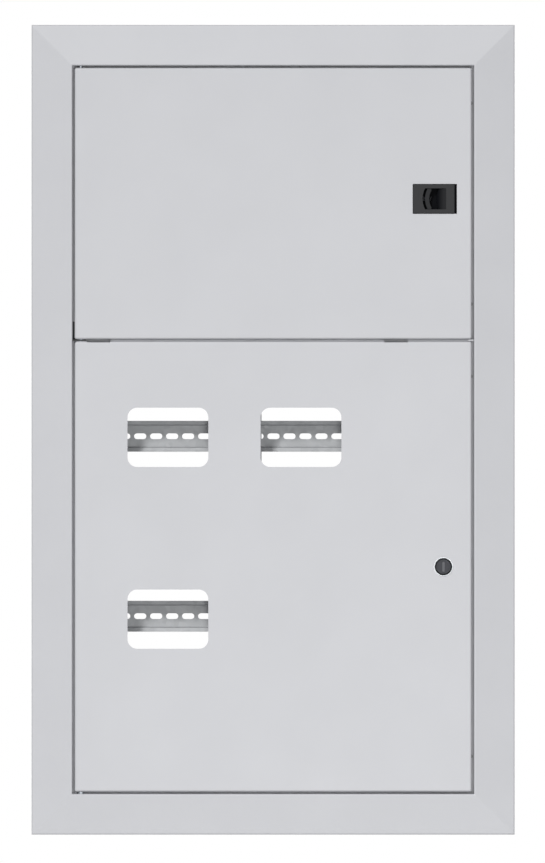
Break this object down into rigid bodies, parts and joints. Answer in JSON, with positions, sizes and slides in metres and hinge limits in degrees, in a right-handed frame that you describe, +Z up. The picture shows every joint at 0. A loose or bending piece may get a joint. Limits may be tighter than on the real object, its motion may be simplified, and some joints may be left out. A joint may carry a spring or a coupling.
{
  "type": "floor distribution board",
  "caption": "Flush floor distribution board: mitred trim, hinged upper door with finger latch, hinged lower door with rounded windows over slotted rails and a cam lock, open back.",
  "frame": {"origin": "centre of the trim frame on the plane of the finished wall", "axes": "+X to the right, +Y into the wall, +Z up; the doors face -Y"},
  "size_m": [0.55, 0.166, 0.922],
  "materials": {
    "grey_powder_coat": "satin powder coat",
    "galvanised_steel": "zinc coated",
    "zinc_plated_steel": "bright zinc",
    "black_abs": "fine grain",
    "black_rubber": "matt",
    "dark_zinc_casting": "dark plated",
    "bright_nickel": "bright nickel"
  },
  "bodies": {
    "root": {"body_shell": "grey_powder_coat", "trim_frame": "grey_powder_coat", "trim_studs": "zinc_plated_steel", "trim_nuts": "zinc_plated_steel", "mullion": "grey_powder_coat", "mullion_rivets": "zinc_plated_steel", "middle_hinge_bracket": "grey_powder_coat", "bracket_rivet": "zinc_plated_steel", "partition": "grey_powder_coat", "partition_rivets": "zinc_plated_steel", "hinge_pins": "zinc_plated_steel", "hinge_washers": "zinc_plated_steel", "upright_left": "galvanised_steel", "upright_middle": "galvanised_steel", "upright_right": "galvanised_steel", "upright_rivets": "zinc_plated_steel", "rail_top_left": "galvanised_steel", "rail_top_right": "galvanised_steel", "rail_bottom": "galvanised_steel", "rail_screws": "zinc_plated_steel", "rail_washers": "zinc_plated_steel", "mounting_plate": "galvanised_steel", "plate_bracket_left": "grey_powder_coat", "plate_bracket_right": "grey_powder_coat", "plate_bracket_rivets": "zinc_plated_steel", "plate_screws": "zinc_plated_steel", "cable_grommets": "black_rubber", "door_buffers": "black_rubber", "earth_stud": "zinc_plated_steel", "earth_washers": "zinc_plated_steel", "earth_nuts": "zinc_plated_steel"},
    "upper_door": {"upper_door": "grey_powder_coat", "upper_door_earth_stud": "zinc_plated_steel", "upper_door_earth_nut": "zinc_plated_steel", "latch_housing": "black_abs", "latch_spring": "zinc_plated_steel"},
    "latch": {"latch_slider": "black_abs"},
    "lower_door": {"lower_door": "grey_powder_coat", "lower_door_earth_stud": "zinc_plated_steel", "lower_door_earth_nut": "zinc_plated_steel", "lock_body": "dark_zinc_casting", "lock_rosette": "bright_nickel", "lock_nut": "dark_zinc_casting"},
    "lock": {"lock_plug": "dark_zinc_casting", "key_shutter": "zinc_plated_steel", "lock_cam": "zinc_plated_steel", "cam_screw": "zinc_plated_steel"}
  },
  "joints": [
    {"name": "upper_door_hinge", "type": "hinge", "parent": "root", "child": "upper_door", "pos_m": [-0.219, -0.0082, 0.258], "axis": [0, 0, -1], "range_deg": [0, 110]},
    {"name": "lower_door_hinge", "type": "hinge", "parent": "root", "child": "lower_door", "pos_m": [-0.219, -0.0082, -0.155], "axis": [0, 0, -1], "range_deg": [0, 110]},
    {"name": "latch_slide", "type": "slide", "parent": "upper_door", "child": "latch", "axis": [-1, 0, 0], "range_m": [0, 0.009], "stiffness_N_per_m": 250, "springref_m": -0.004, "deforming": ["latch_spring"]},
    {"name": "lock_turn", "type": "hinge", "parent": "lower_door", "child": "lock", "pos_m": [0.1939, -0.014, -0.15585], "axis": [0, -1, 0], "range_deg": [0, 90]}
  ]
}
